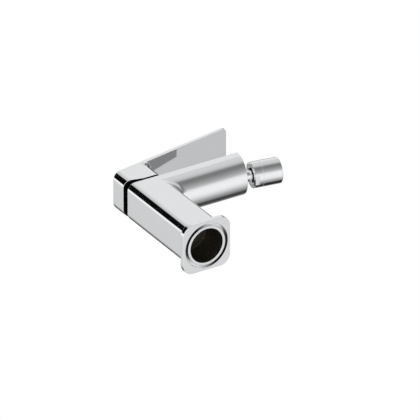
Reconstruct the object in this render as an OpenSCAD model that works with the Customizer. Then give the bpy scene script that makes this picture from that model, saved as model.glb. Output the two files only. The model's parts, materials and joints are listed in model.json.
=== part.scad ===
// Single-lever bidet mixer with a ball-joint nozzle.
// Origin: centre of the foot's underside, on the deck. +Z is up along the body,
// and the spout points along -Y. All sizes are in millimetres.

/* [Body] */
// Width of the square body, of the spout and of the lever
body_w = 40; // [39:0.5:46]
// Radius of the body's upright edges
body_r = 8; // [5:0.5:10]
// Height of the body from the deck to the seam under the lever
body_h = 112; // [109:0.5:125]
// Diameter of the hose recess in the base
recess_d = 35.8; // [33:0.2:36.6]
// Height of the hose recess
recess_h = 30; // [20:1:34]

/* [Foot] */
// Width of the square foot
foot_w = 52; // [50:0.5:60]
// Corner radius of the foot
foot_r = 11; // [5:0.1:12]
// Thickness of the foot
foot_t = 5.2; // [4.6:0.1:8]
// Inner diameter of the seal groove under the foot
groove_id = 41.3; // [39:0.1:43]
// Outer diameter of the seal groove under the foot
groove_od = 47; // [45:0.5:49]
// Depth of the seal groove
groove_depth = 3.4; // [1.5:0.1:3.8]

/* [Spout] */
// Reach from the body's axis to the middle of the spout's end face
spout_reach = 101; // [92:0.5:130]
// Height of the spout's upright sides above its half-round underside
spout_side_h = 7; // [5:0.1:9]
// Wall of the hollow spout
spout_wall = 3; // [2.5:0.25:4]
// Downward tilt of the outlet, and of the end face that is square to it
outlet_tilt = 9.5; // [7:0.5:13]
// Radius of the fillet where the spout's underside meets the body
root_r = 13; // [8:0.5:15]
// Thread diameter of the bush in the spout's end
bush_d = 18; // [16:0.5:19]
// Length of the bush
bush_len = 12; // [10:0.5:14]
// Thickness of the gasket behind the bush
bush_gasket_t = 1.5; // [1:0.25:2]

/* [Lever] */
// Gap between the body and the lever's cap
lever_gap = 2.5; // [2:0.1:3.5]
// Height of the lever's top above the seam at its back edge
lever_back_h = 26.5; // [25:0.5:34]
// Upward slope of the lever's top
lever_slope = 9.9; // [6:0.1:12]
// Length from the body's axis to the lever's tip
lever_len = 120; // [90:1:140]
// Thickness of the lever's blade where it leaves the cap
blade_root_t = 4.2; // [3.6:0.1:6]
// Thickness of the lever's blade at its tip
blade_tip_t = 3.5; // [2.5:0.1:4]
// Corner radius of the lever's tip
blade_tip_r = 5; // [2:0.5:12]
// Rise of the cap's bevelled underside at its back edge, room for the lift
cap_bevel_h = 5.1; // [4.6:0.1:7]
// Wall of the hollow cap
cap_wall = 3; // [2.6:0.1:3.4]
// Height of the cap's hollow above the seam
cap_hollow_h = 18.5; // [17:0.5:20]
// Diameter of the boss that grips the stem
boss_d = 15; // [13.5:0.5:16]
// Height of the boss's lower end above the seam
boss_low_h = 9.5; // [9:0.25:11]
// Thickness of the webs that join the boss to the cap
web_t = 2; // [1.5:0.25:3]
// Height of the grub screw above the seam
screw_h = 14.5; // [13.5:0.25:15]
// Diameter of the grub screw
screw_d = 5; // [4:0.5:6]
// Length of the grub screw
screw_len = 5; // [4:0.5:6]
// Width across the flats of the grub screw's socket
screw_socket = 2.5; // [2:0.1:2.6]
// Diameter of the plug that closes the screw's hole
plug_d = 6.4; // [6.2:0.1:8]

/* [Inlets] */
// Core diameter of the hose threads, M10x1
inlet_d = 9; // [8:0.1:9.5]
// Depth of the hose threads
inlet_depth = 14; // [10:0.5:18]
// Distance of each inlet from the middle plane
inlet_x = 7; // [6.6:0.1:7.2]
// Distance of the inlets behind the body's axis
inlet_y = 3; // [2:0.25:3.5]
// Diameter of the drilled ways from the inlets up to the valve
way_d = 5.5; // [4.5:0.25:6]
// Core diameter of the fixing stud's thread, M8
stud_d = 6.8; // [5:0.1:7]
// Depth of the fixing stud's thread
stud_depth = 12; // [8:0.5:16]
// Distance of the fixing stud in front of the body's axis
stud_y = 9; // [8.5:0.25:11]

/* [Valve chamber] */
// Diameter of the valve chamber
chamber_d = 31; // [30.5:0.1:32]
// Depth of the chamber's seat below the seam
seat_depth = 41.5; // [40:0.5:46]
// Thread diameter of the cartridge nut
nut_d = 33.6; // [33.2:0.1:34.4]
// Depth of the shoulder that the cartridge's flange sits on
shoulder_depth = 10.5; // [10:0.25:12]
// Inner diameter of the cartridge nut
nut_bore = 22; // [21.6:0.1:24]
// Diameter of the way from the chamber into the spout
outlet_d = 11; // [8:0.5:11.5]
// Height of the black collar above the seam
collar_h = 4.5; // [3.5:0.25:5]
// Outer diameter of the black collar
collar_d = 32.8; // [31:0.2:33]

/* [Cartridge] */
// Diameter of the cartridge's housing
cartridge_d = 28; // [27.5:0.1:28.6]
// Wall of the cartridge's housing
cartridge_wall = 1.8; // [1.5:0.1:2]
// Thickness of the housing's flange
flange_t = 3; // [2.5:0.1:3.5]
// Thickness of the cartridge's base
base_t = 7; // [6:0.25:7.5]
// Diameter of the fixed ceramic disc
fixed_disc_d = 23; // [21:0.25:24]
// Diameter of the moving ceramic disc
moving_disc_d = 17; // [16:0.25:17.5]
// Thickness of each ceramic disc
disc_t = 3.5; // [3:0.1:4]
// Thickness of the disc carrier's plate
carrier_t = 3.6; // [3:0.1:4]
// Height of the carrier's drive block
block_h = 5; // [4.5:0.1:5.5]
// Width of the carrier's drive block
block_w = 10; // [9:0.1:10.5]
// Length of the carrier's drive block
block_len = 13; // [12:0.25:13.5]
// Depth of the lever's pivot below the seam
pivot_depth = 7.5; // [7:0.1:8]
// Diameter of the pivot pin
pin_d = 4; // [3:0.25:4.5]
// Width of the square lever stem
stem_w = 7.5; // [7:0.1:8]
// Height of the stem's top above the seam
stem_h = 17; // [16.5:0.1:18]
// Diameter of the stem's ball tip
tip_d = 5.4; // [5:0.1:5.6]
// Length of the stem's arm from its pivot to the middle of its tip
stem_arm = 11; // [10.5:0.1:11.5]
// Travel of the moving disc as the lever lifts
disc_travel = 3.5; // [3:0.1:4]

/* [Nozzle] */
// Diameter of the nozzle
nozzle_d = 25.8; // [24:0.2:27]
// Length of the nozzle
nozzle_len = 28.4; // [24:0.2:34]
// Diameter of the ball joint's neck
neck_d = 11; // [10.4:0.1:11.2]
// Length of neck that shows between the spout and the nozzle
neck_gap = 8.7; // [8.5:0.1:14]
// Bore of the ball joint's neck
neck_bore = 6.5; // [4:0.25:7]
// Diameter of the ball
ball_d = 16; // [15.8:0.1:16.2]
// Depth of the ball's centre inside the nozzle's back face
ball_set = 6.8; // [6.6:0.1:7]
// Diameter of the opening that the neck comes through
mouth_d = 14.6; // [14.4:0.1:14.8]
// Chamfer round that opening
mouth_chamfer = 0.8; // [0.5:0.1:1]
// Length of the nozzle's collar
collar_len = 8.5; // [8.2:0.1:9]
// Width across the collar's spanner flats
flats_w = 23.7; // [22.8:0.1:24.2]
// Length of the spanner flats
flats_len = 3.6; // [2:0.1:4]
// Thickness of the ball's liner
liner_t = 0.65; // [0.5:0.05:0.7]
// Wall of the nozzle's shell round the aerator
shell_wall = 2.1; // [1.6:0.1:2.4]
// Rounding of the nozzle's front edge
nozzle_round = 1; // [0.4:0.1:1.4]
// Depth of the aerator behind the nozzle's front edge
aerator_inset = 1.2; // [0.8:0.1:2]
// Width across the aerator's honeycomb cells
cell_w = 2.2; // [1.8:0.1:2.6]
// Wall between the honeycomb cells
cell_wall = 0.6; // [0.4:0.1:0.9]

/* [Fits] */
// Radial clearance of turning and screwed fits
turn_fit = 0.05; // [0.02:0.01:0.08]
// Clearance between faces that slide past each other
slide_fit = 0.1; // [0.05:0.05:0.15]
// Clearance round moving pieces that need no guiding
free_gap = 0.4; // [0.3:0.05:0.6]

/* [Hidden] */
$fn = 72;

// Overshoot of a cutting tool past the face it cuts
over = 1;
// Depth of the nut's top below the seam, and of the rotor's top below the nut's
nut_inset = 1;
rotor_inset = 1;

// Levels of the valve, upwards
seat_z = body_h - seat_depth;
shoulder_z = body_h - shoulder_depth;
base_top_z = seat_z + base_t;
fixed_disc_top_z = base_top_z + disc_t;
moving_disc_z = fixed_disc_top_z + turn_fit;
carrier_z = moving_disc_z + disc_t;
block_z = carrier_z + carrier_t;
block_top_z = block_z + block_h;
pivot_z = body_h - pivot_depth;
tip_z = pivot_z - stem_arm;
flange_top_z = shoulder_z + flange_t;
nut_top_z = body_h - nut_inset;

// Small features of the cartridge
lip_t = 2;
slot_end_wall = 3;
hub_wall = 2.5;
seal_wall = 1.7;
seal_h = 2;
outlet_y = -4;
arm_step = 0.5;

// Radii and places inside the cartridge
housing_r = cartridge_d / 2 - cartridge_wall;
rotor_r = housing_r - slide_fit;
lip_r = nut_bore / 2 - free_gap - slide_fit;
neck_rotor_r = lip_r - slide_fit;
slot_w = stem_w + 2 * free_gap;
slot_len = 2 * (neck_rotor_r - slot_end_wall);
rotor_step_z = flange_top_z - lip_t - slide_fit;
rotor_top_z = nut_top_z - rotor_inset;
disc_rest_y = disc_travel / 2;
hub_d = pin_d + 2 * hub_wall;

// Small features of the spout's end
bush_ledge = 3;
bush_way_len = 8;
bush_inset = 0.5;
stem_root = 4;
hollow_inset = 0.5;

// Spout section and the outlet's axis
spout_round_z = body_h - spout_side_h;
spout_low_z = spout_round_z - body_w / 2;
outlet_z = (body_h + spout_low_z) / 2;
ball_out = neck_gap + ball_set;
ball_y = -(spout_reach + ball_out * cos(outlet_tilt));
ball_z = outlet_z - ball_out * sin(outlet_tilt);
bush_back = -ball_out - bush_len - bush_gasket_t;
hollow_start = body_w / 2 + hollow_inset;
hollow_end = -ball_y + bush_back * cos(outlet_tilt) - bush_way_len / 2;

// Fillet at the spout's root: how far round the spout it goes each way, the stations along it and
// the steps across it, its sink into the walls that it joins, and its core's depth inside them
root_turn = 84;
root_stations = 42;
root_steps = 10;
root_sink = 0.03;
root_core = 1.5;

// Lever
boss_step = 4;
lever_low_z = body_h + lever_gap;
half_w = body_w / 2;
hollow_z = body_h + cap_hollow_h;
screw_z = body_h + screw_h;
hollow_half = half_w - cap_wall;

// Small features of the nozzle
ball_flat = 1;
thread_depth = 1.6;
thread_len = 3.2;
seal_start = 18;
seal_t = 2.6;
liner_start = 25;
shoulder_t = 1.8;
gasket_t = 1.5;
gasket_w = 2.5;
throat_step = 1;
cup_wall = 1.4;
grid_t = 2;
grid_inset = 0.5;
grid_rim = 0.6;
screen_t = 1.2;

// Nozzle, along its own axis from the ball's centre
ball_r = ball_d / 2;
socket_r = ball_r + liner_t + 2 * turn_fit;
nozzle_r = nozzle_d / 2;
back_z = -ball_set;
seam_z = back_z + collar_len;
front_z = back_z + nozzle_len;
thread_r = nozzle_r - thread_depth;
seal_r = socket_r + free_gap;
seal_low_z = ball_r * sin(seal_start);
seal_top_z = seal_low_z + seal_t;
throat_r = ball_r - throat_step;
aerator_r = nozzle_r - shell_wall;
aerator_z = seal_top_z + shoulder_t;
cup_z = aerator_z + gasket_t;
cup_top_z = front_z - aerator_inset;
insert_r = aerator_r - cup_wall - turn_fit;

function lever_top_z(f) = body_h + lever_back_h + (f + half_w) * tan(lever_slope);

// Path of a ball rolled in the corner under the spout, by its angle round the spout's axis,
// and its directions to the spout and to the body
function root_past(a) = max((half_w + root_r) * abs(sin(a)) - (half_w - body_r), 0) / (body_r + root_r);
function root_centre(a) = [
  (half_w + root_r) * sin(a),
  body_r - half_w - (body_r + root_r) * sqrt(1 - root_past(a) * root_past(a)),
  spout_round_z - (half_w + root_r) * cos(a)
];
function root_to_spout(a) = [-sin(a), 0, cos(a)];
function root_to_body(a) = [-sign(a) * root_past(a), sqrt(1 - root_past(a) * root_past(a)), 0];

// Direction between those two, part of the way round the ball
function root_way(a, part) =
  let (from = root_to_spout(a), to = root_to_body(a), turn = acos(from * to))
  (sin((1 - part) * turn) * from + sin(part * turn) * to) / sin(turn);

// Section of the fillet at one angle: its hollow curve, then a point inside the walls
function root_section(a) = concat(
  [for (j = [0 : root_steps]) root_centre(a) + (root_r + root_sink) * root_way(a, j / root_steps)],
  [root_centre(a) + (root_r + root_core) * (root_to_spout(a) + root_to_body(a))]
);

// A square with round corners
module rounded_square(w, r) {
  square([w, w - 2 * r], center = true);
  square([w - 2 * r, w], center = true);
  for (x = [-1, 1], y = [-1, 1])
    translate([x * (w / 2 - r), y * (w / 2 - r)])
      circle(r);
}

// An upright prism of that section
module rounded_prism(w, r, low, high) {
  translate([0, 0, low])
    linear_extrude(high - low)
      rounded_square(w, r);
}

// A ring between two levels
module ring(r_out, r_in, low, high) {
  translate([0, 0, low])
    difference() {
      cylinder(r = r_out, h = high - low);
      translate([0, 0, -over])
        cylinder(r = r_in, h = high - low + 2 * over);
    }
}

// A plain cylinder between two levels
module column(r, low, high) {
  translate([0, 0, low])
    cylinder(r = r, h = high - low);
}

// Places an outline drawn as [forward, up] across the part's width
module side_extrude(w) {
  rotate([90, 0, -90])
    linear_extrude(w, center = true)
      children();
}

// Runs a section drawn as [across, up] forward, between two distances
module forward_extrude(start, end) {
  translate([0, -start, 0])
    rotate([90, 0, 0])
      linear_extrude(end - start)
        children();
}

// Section of the spout: flat top, upright sides and a half-round underside
module spout_section(half, top) {
  intersection() {
    translate([0, spout_round_z])
      circle(half);
    translate([-half, spout_round_z - half])
      square([2 * half, half]);
  }
  translate([-half, spout_round_z])
    square([2 * half, top - spout_round_z]);
}

// Fillet between the spout's underside and the body's front
module root_fillet() {
  size = root_steps + 2;
  last = root_stations * size;
  points = [
    for (i = [0 : root_stations])
      each root_section(root_turn * (2 * i / root_stations - 1))
  ];
  sides = [
    for (i = [0 : root_stations - 1], j = [0 : size - 1])
      let (a = i * size + j, b = i * size + (j + 1) % size)
      each [[a, b + size, b], [a, a + size, b + size]]
  ];
  ends = [
    for (j = [0 : root_steps - 1])
      each [[size - 1, j, j + 1], [last + size - 1, last + j + 1, last + j]]
  ];
  polyhedron(points, concat(sides, ends));
}

// Puts children on the outlet's axis, with +Z out of the spout
module on_outlet() {
  translate([0, ball_y, ball_z])
    rotate([90 + outlet_tilt, 0, 0])
      children();
}

// Drilled ways of the two inlets, between two levels
module inlet_ways(d, low, high) {
  for (side = [-1, 1])
    translate([side * inlet_x, inlet_y, 0])
      column(d / 2, low, high);
}

// Honeycomb cells that fit within a radius
module honeycomb(r, low, high) {
  pitch = cell_w + cell_wall;
  rows = floor((r - cell_w / 2) / pitch);
  for (i = [-rows : rows], j = [-rows : rows]) {
    x = pitch * (i + j / 2);
    y = pitch * j * sqrt(3) / 2;
    if (norm([x, y]) + cell_w / sqrt(3) < r)
      translate([x, y, low])
        rotate(30)
          cylinder(d = cell_w / cos(30), h = high - low, $fn = 6);
  }
}

// Foot, body and spout in one casting, drilled for the valve and the waterways
module body_casting() {
  color("gainsboro")
    difference() {
      union() {
        rounded_prism(body_w, body_r, 0, body_h);
        rounded_prism(foot_w, foot_r, 0, foot_t);
        forward_extrude(half_w - body_r, spout_reach + body_w)
          spout_section(half_w, body_h);
        root_fillet();
      }
      on_outlet() {
        translate([-body_w, -body_w, -ball_out])
          cube([2 * body_w, 2 * body_w, 2 * body_w]);
        column(bush_d / 2, bush_back, -ball_out + over);
        column(bush_d / 2 - bush_ledge, bush_back - bush_way_len, bush_back + over);
      }
      forward_extrude(hollow_start, hollow_end)
        spout_section(half_w - spout_wall, body_h - spout_wall);
      ring(groove_od / 2, groove_id / 2, -over, groove_depth);
      column(recess_d / 2, -over, recess_h);
      inlet_ways(inlet_d, recess_h - over, recess_h + inlet_depth);
      inlet_ways(way_d, recess_h, seat_z + over);
      translate([0, -stud_y, 0])
        column(stud_d / 2, recess_h - over, recess_h + stud_depth);
      column(chamber_d / 2, seat_z, shoulder_z + over);
      column(nut_d / 2, shoulder_z, body_h + over);
      translate([0, 0, shoulder_z - outlet_d / 2 - hollow_inset])
        rotate([90, 0, 0])
          column(outlet_d / 2, chamber_d / 4, hollow_start + over);
    }
}

// Threaded ring that clamps the cartridge's flange, with slots for its spanner
module cartridge_nut() {
  slot = 4;
  slot_depth = 2;
  color("goldenrod")
    difference() {
      ring(nut_d / 2 - turn_fit, nut_bore / 2, flange_top_z, nut_top_z);
      for (a = [0, 90])
        rotate(a)
          translate([-nut_d, -slot / 2, nut_top_z - slot_depth])
            cube([2 * nut_d, slot, slot_depth + over]);
    }
}

// Black collar that covers the nut and fills the gap under the lever
module trim_collar() {
  outer = collar_d / 2;
  inner = nut_bore / 2 + free_gap;
  low = nut_top_z;
  top = body_h + collar_h;
  flat = 2;
  slope = outer - inner - flat;
  color("#1a1a1a")
    rotate_extrude()
      polygon([
        [inner, low], [outer, low], [outer, top - slope], [outer - slope, top], [inner, top]
      ]);
}

// Outer sleeve of the cartridge, with the flange that the nut holds down
module cartridge_housing() {
  color("white")
    difference() {
      union() {
        column(cartridge_d / 2, base_top_z, flange_top_z);
        column(nut_d / 2 - free_gap, shoulder_z, flange_top_z);
      }
      column(housing_r, base_top_z - over, rotor_step_z + slide_fit);
      column(lip_r, base_top_z, flange_top_z + over);
    }
}

// Base of the cartridge, with the two inlet ports and the side outlet
module cartridge_base() {
  color("white")
    difference() {
      column(cartridge_d / 2, seat_z, base_top_z);
      inlet_ways(way_d, seat_z - over, base_top_z + over);
      inlet_ways(way_d + 2 * seal_wall, seat_z - over, seat_z + seal_h);
      translate([0, outlet_y, 0])
        column(way_d / 2, seat_z + base_t / 2, base_top_z + over);
      translate([-way_d / 2, -cartridge_d / 2 - over, seat_z + base_t / 2])
        cube([way_d, cartridge_d / 2 + outlet_y + over, base_t / 4]);
    }
}

// Sealing ring under the cartridge's flange
module cartridge_ring() {
  room = (chamber_d - cartridge_d) / 2;
  section = room / 2 - turn_fit;
  color("#222222")
    translate([0, 0, shoulder_z - section - turn_fit])
      rotate_extrude()
        translate([(chamber_d + cartridge_d) / 4, 0])
          circle(section);
}

// Rubber rings round the inlet ports, pressed on the chamber's seat
module inlet_seals() {
  color("#222222")
    for (side = [-1, 1])
      translate([side * inlet_x, inlet_y, 0])
        ring(way_d / 2 + seal_wall - turn_fit, way_d / 2, seat_z, seat_z + seal_h - turn_fit);
}

// Fixed ceramic disc with its two inlet holes and its outlet hole
module fixed_disc() {
  color("ivory")
    difference() {
      column(fixed_disc_d / 2, base_top_z, fixed_disc_top_z);
      inlet_ways(way_d, base_top_z - over, fixed_disc_top_z + over);
      translate([0, outlet_y, 0])
        column(way_d / 2, base_top_z - over, fixed_disc_top_z + over);
    }
}

// Moving ceramic disc, with the mixing pocket in its underside
module moving_disc() {
  pocket_w = 9;
  pocket_len = 6;
  pocket_land = 2.5;
  color("ivory")
    translate([0, disc_rest_y, 0])
      difference() {
        column(moving_disc_d / 2, moving_disc_z, carrier_z);
        translate([-pocket_w / 2, -moving_disc_d / 2 + pocket_land, moving_disc_z - over])
          cube([pocket_w, pocket_len, over + disc_t / 2]);
      }
}

// Carrier that the stem's tip pushes to and fro on top of the moving disc
module disc_carrier() {
  sink = 1;
  color("lightgray")
    translate([0, disc_rest_y, 0])
      difference() {
        union() {
          column(moving_disc_d / 2, carrier_z, block_z);
          translate([-block_w / 2, -block_len / 2, carrier_z])
            cube([block_w, block_len, block_top_z - carrier_z]);
        }
        translate([-tip_d / 2 - free_gap, -disc_rest_y - tip_d / 2 - slide_fit, block_z - sink])
          cube([tip_d + 2 * free_gap, tip_d + 2 * slide_fit, block_h + sink + over]);
      }
}

// Rotor that turns with the lever, guides the carrier and holds the pivot pin
module cartridge_rotor() {
  low = block_z + free_gap;
  color("lightgray")
    difference() {
      union() {
        column(rotor_r, low, rotor_step_z);
        column(neck_rotor_r, low, rotor_top_z);
      }
      translate([-slot_w / 2, -slot_len / 2, low - over])
        cube([slot_w, slot_len, rotor_top_z - low + 2 * over]);
      translate([-block_w / 2 - slide_fit, -rotor_r - over, low - over])
        cube([block_w + 2 * slide_fit, 2 * (rotor_r + over), block_top_z + free_gap - low + over]);
      translate([0, 0, pivot_z])
        rotate([0, 90, 0])
          column(pin_d / 2 + turn_fit / 2, -rotor_r, rotor_r);
    }
}

// Pin that the lever's stem swings on
module pivot_pin() {
  half = neck_rotor_r - over;
  color("silver")
    translate([0, 0, pivot_z])
      rotate([0, 90, 0])
        column(pin_d / 2, -half, half);
}

// Stem: square shank in the lever, hub on the pin and ball tip in the carrier
module lever_stem() {
  color("silver")
    difference() {
      union() {
        translate([-stem_w / 2, -stem_w / 2, pivot_z])
          cube([stem_w, stem_w, body_h + stem_h - pivot_z]);
        translate([0, 0, pivot_z])
          rotate([0, 90, 0])
            column(hub_d / 2, -stem_w / 2, stem_w / 2);
        column(tip_d / 2 - arm_step, tip_z, pivot_z);
        translate([0, 0, tip_z])
          sphere(d = tip_d);
      }
      translate([0, 0, pivot_z])
        rotate([0, 90, 0])
          column(pin_d / 2 + turn_fit, -stem_w, stem_w);
    }
}

// Outline of the lever's blade seen from above, from the cap's back to its tip
module blade_outline() {
  back = half_w - body_r;
  tip = lever_len - blade_tip_r;
  tip_half = half_w - blade_tip_r;
  translate([-half_w, -tip])
    square([body_w, tip + back]);
  translate([-back, -tip])
    square([2 * back, tip + half_w]);
  translate([-tip_half, -lever_len])
    square([2 * tip_half, lever_len]);
  for (side = [-1, 1]) {
    translate([side * back, back])
      circle(body_r);
    translate([side * tip_half, -tip])
      circle(blade_tip_r);
  }
}

// Side outline of the cap, bevelled underneath so that it clears the body
module cap_side() {
  polygon([
    [-half_w, lever_low_z + cap_bevel_h],
    [0, lever_low_z],
    [half_w, lever_low_z],
    [half_w, lever_top_z(half_w)],
    [-half_w, lever_top_z(-half_w)]
  ]);
}

// Side outline of the blade, a little thicker at its root than at its tip
module blade_side() {
  polygon([
    [-half_w, lever_top_z(-half_w) - blade_root_t],
    [half_w, lever_top_z(half_w) - blade_root_t],
    [lever_len, lever_top_z(lever_len) - blade_tip_t],
    [lever_len, lever_top_z(lever_len)],
    [-half_w, lever_top_z(-half_w)]
  ]);
}

// Lever: hollow square cap and long flat blade in one casting
module lever_handle() {
  tall = lever_top_z(lever_len) + over;
  web_low_z = body_h + boss_low_h + boss_step;
  color("gainsboro")
    difference() {
      union() {
        intersection() {
          rounded_prism(body_w, body_r, 0, tall);
          side_extrude(2 * body_w)
            cap_side();
        }
        intersection() {
          linear_extrude(tall)
            blade_outline();
          side_extrude(2 * body_w)
            blade_side();
        }
      }
      difference() {
        rounded_prism(2 * hollow_half, body_r - cap_wall, 0, hollow_z);
        column(boss_d / 2, body_h + boss_low_h, hollow_z + over);
        for (a = [0, 90])
          rotate(a)
            translate([-half_w, -web_t / 2, web_low_z])
              cube([body_w, web_t, cap_hollow_h]);
      }
      translate([-stem_w / 2 - turn_fit, -stem_w / 2 - turn_fit, 0])
        cube([stem_w + 2 * turn_fit, stem_w + 2 * turn_fit, body_h + stem_h + turn_fit]);
      translate([0, 0, screw_z])
        rotate([90, 0, 0]) {
          column(screw_d / 2 + turn_fit, 0, half_w);
          column(plug_d / 2 + turn_fit, hollow_half - over, half_w + over);
        }
    }
}

// Grub screw that holds the lever on its stem
module grub_screw() {
  start = stem_w / 2 + turn_fit;
  color("dimgray")
    translate([0, 0, screw_z])
      rotate([90, 0, 0])
        difference() {
          column(screw_d / 2, start, start + screw_len);
          translate([0, 0, start + screw_len / 2])
            cylinder(d = screw_socket / cos(30), h = screw_len, $fn = 6);
        }
}

// Plug that closes the screw's hole in the cap's front
module screw_plug() {
  color("silver")
    translate([0, 0, screw_z])
      rotate([90, 0, 0])
        column(plug_d / 2, hollow_half, half_w);
}

// Threaded bush in the spout's end, with the way through it
module spout_bush() {
  color("silver")
    on_outlet()
      difference() {
        column(bush_d / 2 - turn_fit, -ball_out - bush_len, -ball_out - bush_inset);
        column(neck_d / 2 + turn_fit, -ball_out - bush_len + stem_root, -ball_out + over);
        column(neck_bore / 2, -ball_out - bush_len - over, -ball_out);
      }
}

// Gasket behind the bush
module bush_gasket() {
  color("#222222")
    on_outlet()
      ring(bush_d / 2 - free_gap, bush_d / 2 - bush_ledge, bush_back, bush_back + bush_gasket_t);
}

// Hollow neck and ball, screwed into the bush
module ball_stem() {
  color("gainsboro")
    on_outlet()
      difference() {
        union() {
          sphere(r = ball_r);
          column(neck_d / 2, -ball_out - bush_len + stem_root, 0);
        }
        column(neck_bore / 2, -ball_out - bush_len, ball_d);
        column(ball_d, ball_r - ball_flat, ball_d);
      }
}

// Slippery liner between the ball and the collar's socket
module ball_liner() {
  color("whitesmoke")
    on_outlet()
      intersection() {
        difference() {
          sphere(r = ball_r + liner_t + turn_fit);
          sphere(r = ball_r + turn_fit);
        }
        column(ball_d, -socket_r * sin(liner_start), 0);
      }
}

// Seal in front of the ball, turned to the ball's curve
module ball_seal() {
  color("#222222")
    on_outlet()
      difference() {
        column(seal_r - slide_fit, seal_low_z, seal_top_z - turn_fit);
        sphere(r = ball_r + turn_fit);
      }
}

// Screwed collar that traps the ball, with two spanner flats
module nozzle_collar() {
  color("gainsboro")
    on_outlet()
      difference() {
        column(nozzle_r, back_z, seam_z);
        column(mouth_d / 2, back_z - over, 0);
        translate([0, 0, back_z])
          cylinder(r1 = mouth_d / 2 + mouth_chamfer, r2 = mouth_d / 2, h = mouth_chamfer);
        sphere(r = socket_r);
        column(thread_r, seam_z - thread_len, seam_z + over);
        for (side = [-1, 1])
          translate([-nozzle_d, side * (flats_w / 2 + nozzle_d / 2) - nozzle_d / 2, back_z - over])
            cube([2 * nozzle_d, nozzle_d, flats_len + over]);
      }
}

// Outline of the nozzle's shell, [radius, along the axis], with a round front edge
module shell_outline() {
  r = nozzle_round;
  difference() {
    union() {
      translate([0, seam_z])
        square([nozzle_r, front_z - r - seam_z]);
      translate([0, front_z - r])
        square([nozzle_r - r, r]);
      translate([nozzle_r - r, front_z - r])
        circle(r);
      translate([0, seam_z - thread_len + slide_fit])
        square([thread_r - turn_fit, thread_len]);
    }
    translate([-over, seam_z - thread_len - over])
      square([seal_r + over, seal_top_z - seam_z + thread_len + over]);
    translate([-over, seal_top_z - over])
      square([throat_r + over, nozzle_len]);
    translate([-over, aerator_z])
      square([aerator_r + over, nozzle_len]);
  }
}

// Outer shell of the nozzle, screwed into the collar
module nozzle_shell() {
  color("gainsboro")
    on_outlet()
      rotate_extrude()
        shell_outline();
}

// Flat washer behind the aerator
module aerator_gasket() {
  color("#222222")
    on_outlet()
      ring(aerator_r - slide_fit, aerator_r - gasket_w, aerator_z, cup_z);
}

// Plastic cup of the aerator
module aerator_cup() {
  color("whitesmoke")
    on_outlet()
      ring(aerator_r - turn_fit, aerator_r - cup_wall, cup_z, cup_top_z);
}

// Dirt screen at the back of the aerator
module aerator_screen() {
  color("darkgray")
    on_outlet()
      difference() {
        column(insert_r, cup_z, cup_z + screen_t);
        honeycomb(insert_r - grid_rim, cup_z - over, cup_z + screen_t + over);
      }
}

// Honeycomb at the aerator's mouth
module aerator_grid() {
  top = cup_top_z - grid_inset;
  color("whitesmoke")
    on_outlet()
      difference() {
        column(insert_r, top - grid_t, top);
        honeycomb(insert_r - grid_rim, top - grid_t - over, top + over);
      }
}

body_casting();
cartridge_nut();
trim_collar();
cartridge_housing();
cartridge_base();
cartridge_ring();
inlet_seals();
fixed_disc();
cartridge_rotor();
pivot_pin();
disc_carrier();
moving_disc();
lever_stem();
lever_handle();
grub_screw();
screw_plug();
spout_bush();
bush_gasket();
ball_stem();
ball_liner();
ball_seal();
nozzle_collar();
nozzle_shell();
aerator_gasket();
aerator_cup();
aerator_screen();
aerator_grid();
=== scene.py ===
import json
import math

import bmesh
import bpy
from mathutils import Matrix, Vector


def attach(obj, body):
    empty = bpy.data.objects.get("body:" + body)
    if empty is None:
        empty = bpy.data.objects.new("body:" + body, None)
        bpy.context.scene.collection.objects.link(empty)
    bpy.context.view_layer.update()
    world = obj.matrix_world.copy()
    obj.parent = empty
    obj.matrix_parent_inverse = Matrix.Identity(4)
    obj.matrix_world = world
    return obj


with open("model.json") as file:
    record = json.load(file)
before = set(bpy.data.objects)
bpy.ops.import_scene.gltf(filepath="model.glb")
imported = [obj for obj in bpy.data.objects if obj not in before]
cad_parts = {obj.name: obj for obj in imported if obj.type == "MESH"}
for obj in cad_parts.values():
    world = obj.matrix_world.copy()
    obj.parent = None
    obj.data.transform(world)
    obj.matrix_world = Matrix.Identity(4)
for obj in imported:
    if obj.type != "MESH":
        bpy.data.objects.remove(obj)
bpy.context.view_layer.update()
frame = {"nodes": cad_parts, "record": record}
nodes = frame["nodes"]
MM = 0.001


# Shader trees
def add(tree, kind, inputs=None, **settings):
    """A new node with its settings, whose inputs are values or other nodes' sockets."""
    made = tree.nodes.new(kind)
    for name, value in settings.items():
        setattr(made, name, value)
    for key, value in (inputs or {}).items():
        if isinstance(value, bpy.types.NodeSocket):
            tree.links.new(value, made.inputs[key])
        else:
            made.inputs[key].default_value = value
    return made


def math_node(tree, operation, a, b=0.0):
    return add(tree, "ShaderNodeMath", {0: a, 1: b}, operation=operation).outputs[0]


def step(tree, value, low, high, at_low=0.0, at_high=1.0):
    """A smooth step from at_low to at_high as value goes from low to high."""
    limits = {"Value": value, "From Min": low, "From Max": high, "To Min": at_low, "To Max": at_high}
    return add(tree, "ShaderNodeMapRange", limits, interpolation_type="SMOOTHSTEP").outputs["Result"]


def noise(tree, coords, scale, detail):
    settings = {"Vector": coords, "Scale": scale, "Detail": detail}
    return add(tree, "ShaderNodeTexNoise", settings).outputs["Fac"]


def mix_value(tree, factor, a, b):
    """A mix of two numbers, which have sockets 2 and 3 of the node and its output 0."""
    return add(tree, "ShaderNodeMix", {0: factor, 2: a, 3: b}, data_type="FLOAT").outputs[0]


def mix_colour(tree, factor, a, b):
    """A mix of two colours, which have sockets 6 and 7 of the node and its output 2."""
    return add(tree, "ShaderNodeMix", {0: factor, 6: a, 7: b}, data_type="RGBA").outputs[2]


def length(tree, vector):
    return add(tree, "ShaderNodeVectorMath", {0: vector}, operation="LENGTH").outputs["Value"]


def dot(tree, a, b):
    return add(tree, "ShaderNodeVectorMath", {0: a, 1: b}, operation="DOT_PRODUCT").outputs["Value"]


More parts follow.
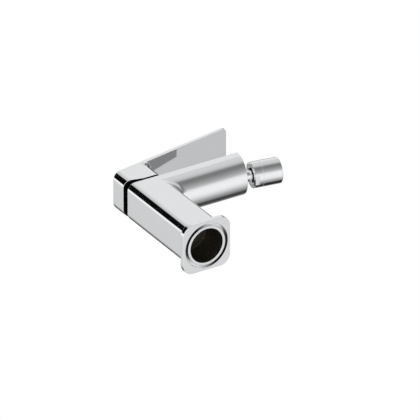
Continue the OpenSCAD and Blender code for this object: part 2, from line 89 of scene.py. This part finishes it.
def new_material(name):
    """A new node material, with its tree, its shader and the part's own coordinates."""
    material = bpy.data.materials.new(name)
    material.use_nodes = True
    tree = material.node_tree
    shader = tree.nodes["Principled BSDF"]
    coords = add(tree, "ShaderNodeTexCoord").outputs["Object"]
    return material, tree, shader, coords


def bump(tree, shader, height, strength, distance):
    made = add(tree, "ShaderNodeBump", {"Strength": strength, "Distance": distance, "Height": height})
    tree.links.new(made.outputs["Normal"], shader.inputs["Normal"])


# Tones: each finish mixes its dark and its light one
CHROME_DARK = (0.80, 0.81, 0.82, 1.0)
CHROME_LIGHT = (0.84, 0.85, 0.86, 1.0)
CASTING_DARK = (0.05, 0.046, 0.037, 1.0)
CASTING_LIGHT = (0.26, 0.235, 0.19, 1.0)
# Shade painted at the front and back of the seal groove: a lighter grey over a wider part, a darker one
# over a narrower part
GROOVE_HALF_SHADE_DARK = (0.46, 0.46, 0.46, 1.0)
GROOVE_HALF_SHADE_LIGHT = (0.58, 0.58, 0.58, 1.0)
GROOVE_DEEP_SHADE_DARK = (0.12, 0.12, 0.12, 1.0)
GROOVE_DEEP_SHADE_LIGHT = (0.20, 0.20, 0.20, 1.0)
# Black shade painted under the lever's cap, on the ball of the joint and in the nozzle's mouth
SHADOW_DARK = (0.002, 0.002, 0.002, 1.0)
SHADOW_LIGHT = (0.006, 0.006, 0.006, 1.0)
BRASS_DARK = (0.62, 0.45, 0.20, 1.0)
BRASS_LIGHT = (0.78, 0.60, 0.32, 1.0)
STEEL_DARK = (0.50, 0.50, 0.51, 1.0)
STEEL_LIGHT = (0.64, 0.64, 0.65, 1.0)
BLACK_DARK = (0.008, 0.008, 0.009, 1.0)
BLACK_LIGHT = (0.02, 0.02, 0.022, 1.0)
WHITE_DARK = (0.70, 0.70, 0.67, 1.0)
WHITE_LIGHT = (0.80, 0.80, 0.78, 1.0)
GREY_DARK = (0.28, 0.29, 0.30, 1.0)
GREY_LIGHT = (0.36, 0.37, 0.38, 1.0)
RUBBER_DARK = (0.012, 0.012, 0.012, 1.0)
RUBBER_LIGHT = (0.035, 0.035, 0.035, 1.0)
CERAMIC_DARK = (0.80, 0.78, 0.71, 1.0)
CERAMIC_LIGHT = (0.88, 0.86, 0.80, 1.0)
PLUG_DARK = (0.48, 0.49, 0.50, 1.0)
PLUG_LIGHT = (0.57, 0.58, 0.59, 1.0)
# Chrome: scale of its haze and marks, the part of each noise that counts, and the roughness it gives
HAZE_SCALE = 60.0
HAZE_PART = (0.35, 0.7)
HAZE_ROUGHNESS = (0.03, 0.06)
MARKS_SCALE = 900.0
MARKS_PART = (0.3, 0.7)
MARKS_ROUGHNESS = (0.0, 0.02)
# Its slow ripple, and the grain of the places where it is missing and of those where shade is painted on
# it
RIPPLE_SCALE = 25.0
RIPPLE_STRENGTH = 0.05
RIPPLE_DEPTH = 0.2 * MM
BARE_AND_SHADE_GRAIN_SCALE = 400.0
# Roughness that is added where it is missing and where black shade is painted, and where shade is painted
# in the groove
BARE_AND_SHADE_ROUGHNESS = 0.4
GROOVE_SHADE_ROUGHNESS = 0.1
# Mouldings: scale of the change of tone, the part of the grain that counts, its bump, change of roughness
TONE_SCALE = 45.0
GRAIN_PART = (0.3, 0.7)
GRAIN_STRENGTH = 0.3
MOULDED_SPREAD = 0.08
# Turned metal: scale of the stain, unevenness and bump of the rings, change of roughness
STAIN_SCALE = 120.0
RINGS_UNEVEN = 0.6
RINGS_STRENGTH = 0.15
RINGS_DEPTH = 0.02 * MM
TURNED_SPREAD = 0.05


def chrome(name, bare_and_shade=()):
    """Bright chrome plate: a faint haze, polishing marks and a slow ripple under a mirror finish.
    bare_and_shade lists where it is missing and where shade is painted on it: each place's mask, dark and
    light tone, added roughness."""
    material, tree, shader, coords = new_material(name)
    haze = noise(tree, coords, HAZE_SCALE, detail=4.0)
    marks = noise(tree, coords, MARKS_SCALE, detail=3.0)
    colour = mix_colour(tree, haze, CHROME_DARK, CHROME_LIGHT)
    rough = math_node(tree, "ADD", step(tree, haze, *HAZE_PART, *HAZE_ROUGHNESS),
                      step(tree, marks, *MARKS_PART, *MARKS_ROUGHNESS))
    for place, dark, light, added in bare_and_shade:
        mask = place(tree, coords)
        grain = noise(tree, coords, BARE_AND_SHADE_GRAIN_SCALE, detail=5.0)
        colour = mix_colour(tree, mask, colour, mix_colour(tree, grain, dark, light))
        rough = math_node(tree, "ADD", rough, math_node(tree, "MULTIPLY", mask, added))
    tree.links.new(colour, shader.inputs["Base Color"])
    tree.links.new(rough, shader.inputs["Roughness"])
    shader.inputs["Metallic"].default_value = 1.0
    ripple = noise(tree, coords, RIPPLE_SCALE, detail=1.0)
    bump(tree, shader, ripple, RIPPLE_STRENGTH, RIPPLE_DEPTH)
    return material


# Where the plating ends: radius of the hose recess and the level where its bare wall starts
RECESS_R = 18.0 * MM
RAW_LOW = 0.4 * MM
# The seal groove: radii round its walls, the level where the shade painted on them starts, and the top of
# its ceiling
GROOVE_R = 20.3 * MM
GROOVE_OUT_R = 23.6 * MM
GROOVE_LOW = 0.2 * MM
GROOVE_TOP = 3.6 * MM
# The way to its parts with painted shade, and the share of a direction along it where the lighter and the
# darker painted shade start and where each is full
SHADED_WAY = Vector((-0.375, 0.927, 0.0))
HALF_SHADE_FROM = (0.30, 0.65)
DEEP_SHADE_FROM = (0.55, 0.85)
# Half the cap's width, the level of its underside, that face's rise to the back, and the cap's hollow
CAP_HALF = 20.0 * MM
CAP_LOW = 114.5 * MM
CAP_RISE = 5.1 * MM
HOLLOW_HALF = 17.05 * MM
HOLLOW_TOP = 130.5 * MM
# Radius of the ball joint's ball and of the nozzle's mouth round the neck
BALL_R = 8.05 * MM
MOUTH_R = 7.35 * MM
# Width of a mask's edge
EDGE = 0.2 * MM
joint = {row["name"]: row for row in frame["record"]["behaviour"]["joints"]}
BALL = Vector(joint["nozzle_spin"]["pos_m"])
OUTLET = Vector(joint["nozzle_spin"]["axis"])


def below(tree, value, limit):
    """1 below the limit and 0 above it, over a narrow edge."""
    return step(tree, value, limit, limit + EDGE, 1.0, 0.0)


def between(tree, value, low, high):
    """1 between the two limits and 0 outside them, over narrow edges."""
    return math_node(tree, "SUBTRACT", below(tree, value, high), below(tree, value, low))


def inside_recess(tree, coords):
    """1 on the walls of the hose recess and of the bores above it, 0 on what is plated."""
    xyz = add(tree, "ShaderNodeSeparateXYZ", {"Vector": coords}).outputs
    flat = add(tree, "ShaderNodeCombineXYZ", {"X": xyz["X"], "Y": xyz["Y"]}).outputs[0]
    within = below(tree, length(tree, flat), RECESS_R)
    above = step(tree, xyz["Z"], RAW_LOW, RAW_LOW + EDGE)
    return math_node(tree, "MULTIPLY", within, above)


def in_groove(tree, coords, shade_from):
    """1 in the seal groove at its front and back, where shade is painted on its walls, and 0 on the faces
    beside it.
    """
    xyz = add(tree, "ShaderNodeSeparateXYZ", {"Vector": coords}).outputs
    flat = add(tree, "ShaderNodeCombineXYZ", {"X": xyz["X"], "Y": xyz["Y"]}).outputs[0]
    out = length(tree, flat)
    ring = between(tree, out, GROOVE_R, GROOVE_OUT_R)
    deep = between(tree, xyz["Z"], GROOVE_LOW, GROOVE_TOP)
    along = math_node(tree, "ABSOLUTE", dot(tree, flat, SHADED_WAY))
    shaded = step(tree, math_node(tree, "DIVIDE", along, out), *shade_from)
    return math_node(tree, "MULTIPLY", math_node(tree, "MULTIPLY", ring, deep), shaded)


# Lighter shade painted in the groove
def half_shade_in_groove(tree, coords):
    return in_groove(tree, coords, HALF_SHADE_FROM)


# Darker shade painted in the groove
def deep_shade_in_groove(tree, coords):
    return in_groove(tree, coords, DEEP_SHADE_FROM)


def shade_under_cap(tree, coords):
    """1 on the underside of the lever's cap and inside its hollow, where black shade is painted, 0
    elsewhere.
    """
    xyz = add(tree, "ShaderNodeSeparateXYZ", {"Vector": coords}).outputs
    rise = math_node(tree, "MULTIPLY", math_node(tree, "MAXIMUM", xyz["Y"], 0.0), CAP_RISE / CAP_HALF)
    underside = below(tree, math_node(tree, "SUBTRACT", xyz["Z"], rise), CAP_LOW)
    across = math_node(tree, "MAXIMUM", math_node(tree, "ABSOLUTE", xyz["X"]),
                       math_node(tree, "ABSOLUTE", xyz["Y"]))
    hollow = math_node(tree, "MULTIPLY", below(tree, across, HOLLOW_HALF),
                       below(tree, xyz["Z"], HOLLOW_TOP))
    return math_node(tree, "MAXIMUM", underside, hollow)


def from_ball(tree, coords):
    return add(tree, "ShaderNodeVectorMath", {0: coords, 1: BALL}, operation="SUBTRACT").outputs["Vector"]


def shade_on_ball(tree, coords):
    """1 on the ball, where black shade is painted, 0 on the neck behind it."""
    return below(tree, length(tree, from_ball(tree, coords)), BALL_R)


def shade_in_mouth(tree, coords):
    """1 inside the nozzle's mouth, where black shade is painted, 0 on its chamfer and outside."""
    away = from_ball(tree, coords)
    cross = add(tree, "ShaderNodeVectorMath", {0: away, 1: OUTLET}, operation="CROSS_PRODUCT")
    return below(tree, length(tree, cross.outputs["Vector"]), MOUTH_R)


def moulded(name, dark, light, roughness, grain_scale, grain_depth):
    """Moulded plastic or rubber: a slight change of tone and a fine satin grain."""
    material, tree, shader, coords = new_material(name)
    tone = noise(tree, coords, TONE_SCALE, detail=3.0)
    grain = noise(tree, coords, grain_scale, detail=4.0)
    tree.links.new(mix_colour(tree, tone, dark, light), shader.inputs["Base Color"])
    rough = step(tree, grain, *GRAIN_PART, roughness - MOULDED_SPREAD, roughness + MOULDED_SPREAD)
    tree.links.new(rough, shader.inputs["Roughness"])
    bump(tree, shader, grain, GRAIN_STRENGTH, grain_depth)
    return material


def turned(name, dark, light, roughness, ring_scale):
    """Turned metal: fine rings round the part's upright axis, and a faint stain."""
    material, tree, shader, coords = new_material(name)
    rings = {"Vector": coords, "Scale": ring_scale, "Distortion": RINGS_UNEVEN, "Detail": 2.0}
    lines = add(tree, "ShaderNodeTexWave", rings, wave_type="RINGS", rings_direction="Z").outputs["Fac"]
    stain = noise(tree, coords, STAIN_SCALE, detail=4.0)
    tree.links.new(mix_colour(tree, stain, dark, light), shader.inputs["Base Color"])
    rough = step(tree, lines, 0.0, 1.0, roughness - TURNED_SPREAD, roughness + TURNED_SPREAD)
    tree.links.new(rough, shader.inputs["Roughness"])
    shader.inputs["Metallic"].default_value = 1.0
    bump(tree, shader, lines, RINGS_STRENGTH, RINGS_DEPTH)
    return material


finishes = {
    "chrome": chrome("chrome_plate"),
    "brass": turned("turned_brass", BRASS_DARK, BRASS_LIGHT, roughness=0.25, ring_scale=900.0),
    "black_plastic": moulded("black_moulding", BLACK_DARK, BLACK_LIGHT, roughness=0.45,
                             grain_scale=1500.0, grain_depth=0.02 * MM),
    "white_plastic": moulded("white_moulding", WHITE_DARK, WHITE_LIGHT, roughness=0.4,
                             grain_scale=1200.0, grain_depth=0.02 * MM),
    "grey_plastic": moulded("grey_moulding", GREY_DARK, GREY_LIGHT, roughness=0.45,
                            grain_scale=1200.0, grain_depth=0.02 * MM),
    "rubber": moulded("black_rubber", RUBBER_DARK, RUBBER_LIGHT, roughness=0.75,
                      grain_scale=800.0, grain_depth=0.04 * MM),
    "ceramic": moulded("lapped_ceramic", CERAMIC_DARK, CERAMIC_LIGHT, roughness=0.15,
                       grain_scale=2500.0, grain_depth=0.005 * MM),
    "steel": turned("turned_steel", STEEL_DARK, STEEL_LIGHT, roughness=0.28, ring_scale=1200.0),
    "plug": moulded("grey_plug", PLUG_DARK, PLUG_LIGHT, roughness=0.3,
                    grain_scale=1500.0, grain_depth=0.01 * MM),
}
slot_of = {row["node"]: row["material_slot"] for row in frame["record"]["subparts"]}
for name, obj in nodes.items():
    obj.data.materials.clear()
    obj.data.materials.append(finishes[slot_of[name]])
# Chrome with its bare casting and with painted shade
chrome_with_bare_and_shade = {
    "body_casting": chrome("chrome_on_casting_bare_and_painted_shade", [
        (inside_recess, CASTING_DARK, CASTING_LIGHT, BARE_AND_SHADE_ROUGHNESS),
        # Shade painted at the front and back of the seal groove, lighter and darker
        (half_shade_in_groove, GROOVE_HALF_SHADE_DARK, GROOVE_HALF_SHADE_LIGHT, GROOVE_SHADE_ROUGHNESS),
        (deep_shade_in_groove, GROOVE_DEEP_SHADE_DARK, GROOVE_DEEP_SHADE_LIGHT, GROOVE_SHADE_ROUGHNESS),
    ]),
    # Black shade painted on the cap's underside and in its hollow
    "lever_handle": chrome("chrome_on_lever_painted_shade", [(shade_under_cap, SHADOW_DARK, SHADOW_LIGHT, BARE_AND_SHADE_ROUGHNESS)]),
    # Black shade painted on the ball round the neck
    "ball_stem": chrome("chrome_on_neck_painted_shade", [(shade_on_ball, SHADOW_DARK, SHADOW_LIGHT, BARE_AND_SHADE_ROUGHNESS)]),
    # Black shade painted inside the nozzle's mouth
    "nozzle_collar": chrome("chrome_on_collar_painted_shade", [(shade_in_mouth, SHADOW_DARK, SHADOW_LIGHT, BARE_AND_SHADE_ROUGHNESS)]),
}
for name, material in chrome_with_bare_and_shade.items():
    nodes[name].data.materials[0] = material


# Soft edges: how near points are joined, angles of flat and sharp edges, rounding steps, weight of faces
WELD_WITHIN = 0.001 * MM
FLAT_ANGLE = math.radians(0.2)
SHARP_ANGLE = math.radians(30)
ROUND_STEPS = 3
FACE_WEIGHT = 50


def smooth_group():
    """Geometry nodes that shade every face smooth."""
    group = bpy.data.node_groups.new("shade_smooth", "GeometryNodeTree")
    group.interface.new_socket("Geometry", in_out="INPUT", socket_type="NodeSocketGeometry")
    group.interface.new_socket("Geometry", in_out="OUTPUT", socket_type="NodeSocketGeometry")
    start = group.nodes.new("NodeGroupInput")
    smooth = group.nodes.new("GeometryNodeSetShadeSmooth")
    end = group.nodes.new("NodeGroupOutput")
    group.links.new(start.outputs[0], smooth.inputs[0])
    group.links.new(smooth.outputs[0], end.inputs[0])
    return group


SHADE_SMOOTH = smooth_group()


def soften(obj, width):
    """Rounds the sharp edges of a CAD node by width, with modifiers alone."""
    weld = obj.modifiers.new("weld", "WELD")
    weld.merge_threshold = WELD_WITHIN
    flat = obj.modifiers.new("flat_faces", "DECIMATE")
    flat.decimate_type = "DISSOLVE"
    flat.angle_limit = FLAT_ANGLE
    edge = obj.modifiers.new("soft_edges", "BEVEL")
    edge.width = width
    edge.segments = ROUND_STEPS
    edge.limit_method = "ANGLE"
    edge.angle_limit = SHARP_ANGLE
    edge.use_clamp_overlap = False
    edge.loop_slide = False
    obj.modifiers.new("smooth", "NODES").node_group = SHADE_SMOOTH
    normals = obj.modifiers.new("normals", "WEIGHTED_NORMAL")
    normals.weight = FACE_WEIGHT
    normals.keep_sharp = False


SOFT_EDGES = {
    "body_casting": 0.35 * MM,
    "lever_handle": 0.35 * MM,
    "nozzle_collar": 0.2 * MM,
    "nozzle_shell": 0.2 * MM,
    "trim_collar": 0.2 * MM,
    "screw_plug": 0.2 * MM,
}
for name, width in SOFT_EDGES.items():
    soften(nodes[name], width)


# Fillet at the root of the lever's blade, in front of the cap and round its front corners
CAP_CORNER_R = 8.0 * MM
BLADE_ROOT_Z = 141.28 * MM
BLADE_RISE = math.tan(math.radians(10.0))
FILLET_R = 4.4 * MM
FILLET_STEPS = 10
CORNER_STEPS = 18
CREASE_ANGLE = math.radians(35)
# How deep its back lies in the lever, and how far its ends reach past the cap's sides
SUNK = 0.3 * MM
SIDE_PROUD = 0.02 * MM


def fillet_section(at, way):
    """Corners of the fillet's section, from a point of the cap's outline along the way out from it."""
    reach = FILLET_R
    if abs(way.x) > 0:
        reach = min(reach, (CAP_HALF + SIDE_PROUD - abs(at.x)) / abs(way.x))
    arc_end = math.acos(1 - reach / FILLET_R)
    corners = []
    for number in range(FILLET_STEPS + 1):
        angle = arc_end * number / FILLET_STEPS
        out = FILLET_R * (1 - math.cos(angle))
        corners.append((out, FILLET_R * math.sin(angle) - FILLET_R))
    corners.append((reach, SUNK))
    corners.append((-SUNK, SUNK))
    corners.append((-SUNK, -FILLET_R))
    section = []
    for out, rise in corners:
        spot = at + way * out
        root = BLADE_ROOT_Z + (-spot.y - CAP_HALF) * BLADE_RISE
        section.append((spot.x, spot.y, root + rise))
    return section


def blade_fillet():
    middle = CAP_HALF - CAP_CORNER_R
    places = []
    for side in (-1, 1):
        for number in range(CORNER_STEPS + 1):
            angle = math.radians(90 * number / CORNER_STEPS)
            way = Vector((side * math.cos(angle), -math.sin(angle), 0))
            places.append((Vector((side * middle, -middle, 0)) + way * CAP_CORNER_R, way))
    places.sort(key=lambda place: place[0].x)
    shape = bmesh.new()
    rings = [[shape.verts.new(corner) for corner in fillet_section(*place)] for place in places]
    for ring, following in zip(rings, rings[1:]):
        for number, corner in enumerate(ring):
            beside = (number + 1) % len(ring)
            shape.faces.new((corner, ring[beside], following[beside], following[number]))
    shape.faces.new(rings[0])
    shape.faces.new(rings[-1])
    bmesh.ops.recalc_face_normals(shape, faces=shape.faces)
    for face in shape.faces:
        face.smooth = True
    mesh = bpy.data.meshes.new("lever_root_fillet")
    shape.to_mesh(mesh)
    shape.free()
    mesh.set_sharp_from_angle(angle=CREASE_ANGLE)
    mesh.materials.append(finishes["chrome"])
    made = bpy.data.objects.new("lever_root_fillet", mesh)
    bpy.context.scene.collection.objects.link(made)
    return made


fillet = blade_fillet()
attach(fillet, "lever")


# Camera: from behind and below, with the mixer lying on its right side. Its angles, the width it shows,
# its lens and sensor in mm, where the picture's centre lies from the origin, and its clipping
VIEW_TURN = math.radians(31.6)
VIEW_HEIGHT = math.radians(28.68)
FRAME_W = 0.3981
LENS = 900.0
SENSOR = 36.0
CENTRE_RIGHT = 3.08 * MM
CENTRE_UP = 33.84 * MM
CLIP_START = 0.1
CLIP_TIMES = 4
turn_c, turn_s = math.cos(VIEW_TURN), math.sin(VIEW_TURN)
height_c, height_s = math.cos(VIEW_HEIGHT), math.sin(VIEW_HEIGHT)
right = Vector((0, -turn_c, -turn_s))
up = Vector((-height_c, -turn_s * height_s, turn_c * height_s))
back = right.cross(up)

camera_data = bpy.data.cameras.new("camera")
camera_data.lens = LENS
camera_data.sensor_width = SENSOR
distance = FRAME_W * LENS / SENSOR
camera_data.clip_start = CLIP_START
camera_data.clip_end = CLIP_TIMES * distance
camera = bpy.data.objects.new("camera", camera_data)
bpy.context.scene.collection.objects.link(camera)
camera_at = Matrix((right, up, back)).transposed().to_4x4()
camera_at.translation = right * CENTRE_RIGHT + up * CENTRE_UP + back * distance
camera.matrix_world = camera_at
bpy.context.scene.camera = camera


# Studio: a white room, brighter on one side, with long strips beside the spout and dark flags
ROOM_LEVEL = 0.936
ROOM_SLOPE = (-0.369, 0.219, -0.163)
ROOM_MOST = 1.05
# Each strip: angle round the spout's axis, from the left side downwards, and its brightness
STRIPS = {
    "behind": (-180, 0.06),
    "edge of the back": (-160, 0.14),
    "back lamp": (-145, 0.24),
    "over the front": (-131, 0.31),
    "over the top": (-116, 0.13),
    "under the top": (-107, 0.13),
    "edge of the top": (-96, 0.40),
    "high left": (-83, 0.90),
    "left": (-57, 0.895),
    "low left": (-50, 0.78),
    "above the panel": (-20, 0.71),
    "edge of the panel": (3, 0.40),
    "side panel": (13, 0.23),
    "under the panel": (35, 0.32),
    "rise to the floor": (60, 0.60),
    "floor, near": (85, 1.03),
    "floor, far": (100, 1.02),
    "far side": (125, 0.77),
    "edge of the far flag": (155, 0.37),
    "far flag": (173, 0.08),
    "behind again": (180, 0.06),
}
# Where the strips end, as the y of a direction, and how much shorter they are on the right, between two x;
# then the same end for the lower strips, and the z where those start
STRIPS_BACK = (-0.12, 0.12)
RIGHT_SHORTER = 0.17
RIGHT_FROM = (0.0, 0.5)
LOW_STRIPS_BACK = (0.30, 0.60)
LOW_STRIPS_Z = (-0.25, -0.45)
# Each flag: middle direction, angle of its core, angle where it ends, how dark it is; below 0, a lamp
FLAGS = {
    "over the back": ((0.55, 0.00, 0.83), 12, 28, 0.45),
    "right": ((0.935, -0.33, 0.06), 5, 11, 0.9),
    "right, lower": ((0.91, -0.32, -0.26), 4, 9, 0.75),
    "front": ((-0.10, -0.93, 0.36), 10, 28, 0.85),
    "under the lever": ((0.48, -0.69, -0.55), 8, 15, 0.1),
    "low right": ((0.82, -0.22, -0.53), 10, 22, 0.22),
}
# The flags that the upright edges mirror, within one band of heights
EDGE_FLAGS = {
    "edge of the back": ((-0.40, 0.53, 0.747), 21, 27, 0.995),
    "side of the back": ((-0.52, 0.41, 0.747), 12, 34, 0.5),
    "lamp on the back": ((0.08, 0.66, 0.747), 4, 15, -0.25),
    "edge of the front": ((0.08, -0.66, 0.747), 6, 15, 0.8),
    "edge of the right": ((0.62, -0.25, 0.745), 15, 22, 0.95),
}
# The band's heights in degrees: where it starts, where it is full, until where, and where it ends
EDGE_BAND = (44.4, 45.6, 52.5, 57.0)
# What matt finishes see of the room
DIFFUSE_LEVEL = 0.85
# Key lamp, which the chrome doesn't mirror
KEY_ENERGY = 1.2
KEY_SIZE = 0.6
KEY_AT = (-0.45, -0.35, 0.75)
KEY_AIM = Vector((0, -0.04, 0.07))

world = bpy.data.worlds.new("studio")
world.use_nodes = True
bpy.context.scene.world = world
sky = world.node_tree
sky.nodes.clear()
direction = add(sky, "ShaderNodeTexCoord").outputs["Generated"]
sides = add(sky, "ShaderNodeSeparateXYZ", {"Vector": direction}).outputs
slope = dot(sky, direction, ROOM_SLOPE)
room = math_node(sky, "MINIMUM", math_node(sky, "ADD", slope, ROOM_LEVEL), ROOM_MOST)
around = math_node(sky, "ARCTAN2", math_node(sky, "MULTIPLY", sides["Z"], -1.0),
                   math_node(sky, "MULTIPLY", sides["X"], -1.0))
turned_by = add(sky, "ShaderNodeMapRange", {"Value": around, "From Min": -math.pi, "From Max": math.pi})
strips = add(sky, "ShaderNodeFloatCurve", {"Value": turned_by.outputs["Result"]})
curve = strips.mapping.curves[0]
for number, (angle, level) in enumerate(STRIPS.values()):
    place_on = ((angle + 180) / 360, level / ROOM_MOST)
    if number < len(curve.points):
        curve.points[number].location = place_on
    else:
        curve.points.new(*place_on)
strips.mapping.update()
strip_level = math_node(sky, "MULTIPLY", strips.outputs[0], ROOM_MOST)
low = math_node(sky, "MULTIPLY", step(sky, sides["Y"], *LOW_STRIPS_BACK, 1.0, 0.0),
                step(sky, sides["Z"], *reversed(LOW_STRIPS_Z), 1.0, 0.0))
shortened = math_node(sky, "ADD", sides["Y"], step(sky, sides["X"], *RIGHT_FROM, 0.0, RIGHT_SHORTER))
forward = math_node(sky, "MAXIMUM", step(sky, shortened, *STRIPS_BACK, 1.0, 0.0), low)
room = mix_value(sky, forward, room, strip_level)


def flagged(flags):
    """How much of the light the flags leave in a direction."""
    left = 1.0
    for middle, core, rim, depth in flags.values():
        towards = dot(sky, direction, Vector(middle).normalized())
        near = [math.cos(math.radians(angle)) for angle in (rim, core)]
        left = math_node(sky, "MULTIPLY", left, step(sky, towards, *near, 1.0, 1.0 - depth))
    return left


def in_edge_band():
    """1 in the band of the edges' flags, 0 above and below it."""
    start, full, until, end = [math.sin(math.radians(height)) for height in EDGE_BAND]
    return math_node(sky, "MULTIPLY", step(sky, sides["Z"], start, full),
                     step(sky, sides["Z"], until, end, 1.0, 0.0))


edges = mix_value(sky, in_edge_band(), 1.0, flagged(EDGE_FLAGS))
room = math_node(sky, "MULTIPLY", room, math_node(sky, "MULTIPLY", flagged(FLAGS), edges))

ray = add(sky, "ShaderNodeLightPath")
mirrored = math_node(sky, "MAXIMUM", ray.outputs["Is Glossy Ray"], ray.outputs["Is Transmission Ray"])
lit = mix_value(sky, mirrored, DIFFUSE_LEVEL, room)
shown = mix_value(sky, ray.outputs["Is Camera Ray"], lit, 1.0)
background = add(sky, "ShaderNodeBackground", {"Color": (1, 1, 1, 1), "Strength": shown})
add(sky, "ShaderNodeOutputWorld", {"Surface": background.outputs[0]})

lamp_data = bpy.data.lights.new("key", "AREA")
lamp_data.energy = KEY_ENERGY
lamp_data.size = KEY_SIZE
lamp = bpy.data.objects.new("key", lamp_data)
lamp.location = KEY_AT
lamp.rotation_mode = "QUATERNION"
lamp.rotation_quaternion = (KEY_AIM - lamp.location).to_track_quat("-Z", "Y")
lamp.visible_glossy = False
bpy.context.scene.collection.objects.link(lamp)


# Floor: pale, under the foot, seen from above only
FLOOR_R = 0.9
FLOOR_Z = -0.2 * MM
FLOOR_CORNERS = 96
FLOOR_FADE = (0.25 * FLOOR_R, 0.95 * FLOOR_R)
FLOOR_DARK = (0.90, 0.90, 0.90, 1.0)
FLOOR_LIGHT = (0.93, 0.93, 0.93, 1.0)
FLOOR_TONE_SCALE = 8.0
FLOOR_ROUGHNESS = 0.9
FLOOR_SPECULAR = 0.1


def make_floor():
    bpy.ops.mesh.primitive_circle_add(vertices=FLOOR_CORNERS, radius=FLOOR_R, fill_type="NGON",
                                      location=(0, 0, FLOOR_Z))
    floor = bpy.context.object
    floor.name = "floor"
    material, tree, shader, coords = new_material("pale_floor")
    tone = noise(tree, coords, FLOOR_TONE_SCALE, detail=3.0)
    tree.links.new(mix_colour(tree, tone, FLOOR_DARK, FLOOR_LIGHT), shader.inputs["Base Color"])
    shader.inputs["Roughness"].default_value = FLOOR_ROUGHNESS
    shader.inputs["Specular IOR Level"].default_value = FLOOR_SPECULAR
    fade = step(tree, length(tree, coords), *FLOOR_FADE)
    under = add(tree, "ShaderNodeNewGeometry").outputs["Backfacing"]
    clear = math_node(tree, "MAXIMUM", fade, under)
    nothing = add(tree, "ShaderNodeBsdfTransparent").outputs[0]
    mixed = add(tree, "ShaderNodeMixShader", {0: clear, 1: shader.outputs[0], 2: nothing})
    tree.links.new(mixed.outputs[0], tree.nodes["Material Output"].inputs["Surface"])
    floor.data.materials.append(material)
    floor.visible_glossy = False
    floor.visible_diffuse = False
    floor.visible_transmission = False
    floor.visible_shadow = False
    return floor


make_floor()

bpy.context.scene.view_settings.view_transform = "Standard"
